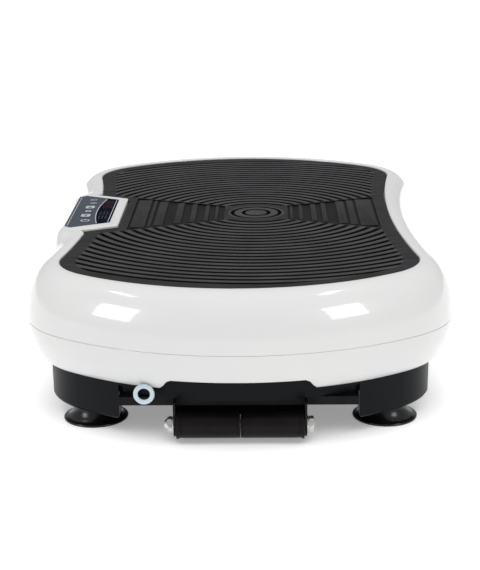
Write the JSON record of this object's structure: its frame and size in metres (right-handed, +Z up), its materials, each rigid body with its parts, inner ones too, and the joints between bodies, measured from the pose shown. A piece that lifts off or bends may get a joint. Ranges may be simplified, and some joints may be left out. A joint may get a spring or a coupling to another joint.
{
  "type": "vibration plate",
  "caption": "Low oscillating vibration plate: ribbed waisted platform with side console, white covers, black base on suction feet, transport roller.",
  "frame": {"origin": "on the floor, under the centre of the machine", "axes": "+Y along the long side, away from the transport roller; +X away from the console; +Z up"},
  "size_m": [0.4068, 0.6508, 0.1455],
  "materials": {
    "white_shell": "gloss",
    "mat_rubber": "ribbed, satin",
    "base_black": "satin",
    "cup_rubber": "semi-gloss",
    "zinc": "zinc plated",
    "black_steel": "powder coat",
    "roller_black": "satin",
    "eyelet_grey": "satin",
    "plate_steel": "grey paint",
    "bright_steel": "machined",
    "bearing_steel": "ground",
    "bronze": "sintered",
    "cast_block": "painted casting",
    "alloy": "die cast",
    "motor_black": "satin paint",
    "ferrite": "sintered",
    "belt_rubber": "matt",
    "board_green": "solder mask",
    "capacitor_sleeve": "shrink sleeve",
    "transformer_core": "varnished laminations",
    "inlet_black": "moulded",
    "panel_blue": "printed film",
    "window_dark": "tinted",
    "key_film": "printed film",
    "led_module": "moulded"
  },
  "bodies": {
    "base": {"base_housing": "base_black", "chassis_plate": "plate_steel", "suction_feet": "cup_rubber", "foot_studs": "zinc", "roller_bracket": "black_steel", "roller_bracket_screws": "zinc", "roller_axle": "zinc", "roller_nut": "zinc", "roller_washers": "zinc", "pivot_blocks": "cast_block", "pivot_bushes": "bronze", "crank_blocks": "cast_block", "crank_bearings": "bearing_steel", "motor_can": "motor_black", "motor_end_bells": "alloy", "motor_magnets": "ferrite", "motor_clamps": "black_steel", "drive_belt": "belt_rubber", "control_board": "board_green", "board_standoffs": "zinc", "board_heatsink": "alloy", "board_capacitors": "capacitor_sleeve", "power_transformer": "transformer_core", "mains_inlet": "inlet_black", "switch_frame": "inlet_black", "chassis_screws": "zinc"},
    "platform": {"top_cover": "white_shell", "lower_cover": "white_shell", "mat": "mat_rubber", "band_eyelets": "eyelet_grey", "platform_plate": "plate_steel", "pivot_brackets": "plate_steel", "pivot_shaft": "bright_steel", "rod_clevises": "plate_steel", "clevis_pins": "bright_steel", "console_bezel": "white_shell", "display_window": "window_dark", "key_sheet": "panel_blue", "console_board": "board_green", "display_module": "led_module", "platform_screws": "zinc"},
    "crank": {"crankshaft": "bright_steel", "crank_pulley": "alloy"},
    "rod_l": {"rod_left": "alloy", "rod_bearing_left": "bearing_steel"},
    "rod_r": {"rod_right": "alloy", "rod_bearing_right": "bearing_steel"},
    "rotor": {"motor_rotor": "bright_steel", "motor_pulley": "alloy"},
    "roller_l": {"roller_left": "roller_black"},
    "roller_r": {"roller_right": "roller_black"},
    "rocker": {"switch_rocker": "inlet_black"},
    "key_power_body": {"key_power": "key_film"},
    "key_speed_down_body": {"key_speed_down": "key_film"},
    "key_start_body": {"key_start": "key_film"},
    "key_speed_up_body": {"key_speed_up": "key_film"},
    "key_mode_body": {"key_mode": "key_film"},
    "key_timer_body": {"key_timer": "key_film"}
  },
  "joints": [
    {"name": "platform_rock", "type": "hinge", "parent": "base", "child": "platform", "pos_m": [0, 0, 0.084], "axis": [1, 0, 0], "range_deg": [-1.2, 1.2]},
    {"name": "motor_spin", "type": "hinge", "parent": "base", "child": "rotor", "pos_m": [0, 0.19, 0.078], "axis": [1, 0, 0], "continuous": true},
    {"name": "crank_spin", "type": "hinge", "parent": "base", "child": "crank", "pos_m": [0, 0.095, 0.08], "axis": [1, 0, 0], "continuous": true},
    {"name": "rod_left_swing", "type": "hinge", "parent": "crank", "child": "rod_l", "pos_m": [-0.03, 0.0972, 0.08], "axis": [1, 0, 0], "continuous": true},
    {"name": "rod_right_swing", "type": "hinge", "parent": "crank", "child": "rod_r", "pos_m": [0.03, 0.0972, 0.08], "axis": [1, 0, 0], "continuous": true},
    {"name": "roller_left_spin", "type": "hinge", "parent": "base", "child": "roller_l", "pos_m": [-0.028, -0.295, 0.0169], "axis": [1, 0, 0], "continuous": true},
    {"name": "roller_right_spin", "type": "hinge", "parent": "base", "child": "roller_r", "pos_m": [0.03, -0.295, 0.0169], "axis": [1, 0, 0], "continuous": true},
    {"name": "switch_rock", "type": "hinge", "parent": "base", "child": "rocker", "pos_m": [-0.022, 0.298, 0.0545], "axis": [0, 0, 1], "range_deg": [-9, 9]},
    {"name": "key_power_press", "type": "slide", "parent": "platform", "child": "key_power_body", "axis": [0, 0, -1], "range_m": [0, 0.0004], "stiffness_N_per_m": 1500},
    {"name": "key_speed_down_press", "type": "slide", "parent": "platform", "child": "key_speed_down_body", "axis": [0, 0, -1], "range_m": [0, 0.0004], "stiffness_N_per_m": 1500},
    {"name": "key_start_press", "type": "slide", "parent": "platform", "child": "key_start_body", "axis": [0, 0, -1], "range_m": [0, 0.0004], "stiffness_N_per_m": 1500},
    {"name": "key_speed_up_press", "type": "slide", "parent": "platform", "child": "key_speed_up_body", "axis": [0, 0, -1], "range_m": [0, 0.0004], "stiffness_N_per_m": 1500},
    {"name": "key_mode_press", "type": "slide", "parent": "platform", "child": "key_mode_body", "axis": [0, 0, -1], "range_m": [0, 0.0004], "stiffness_N_per_m": 1500},
    {"name": "key_timer_press", "type": "slide", "parent": "platform", "child": "key_timer_body", "axis": [0, 0, -1], "range_m": [0, 0.0004], "stiffness_N_per_m": 1500}
  ],
  "couplings": [
    {"joint": "crank_spin", "follows": "motor_spin", "ratio": 0.44444},
    {"joint": "rod_left_swing", "follows": "motor_spin", "ratio": -0.44444},
    {"joint": "rod_right_swing", "follows": "motor_spin", "ratio": -0.44444}
  ]
}
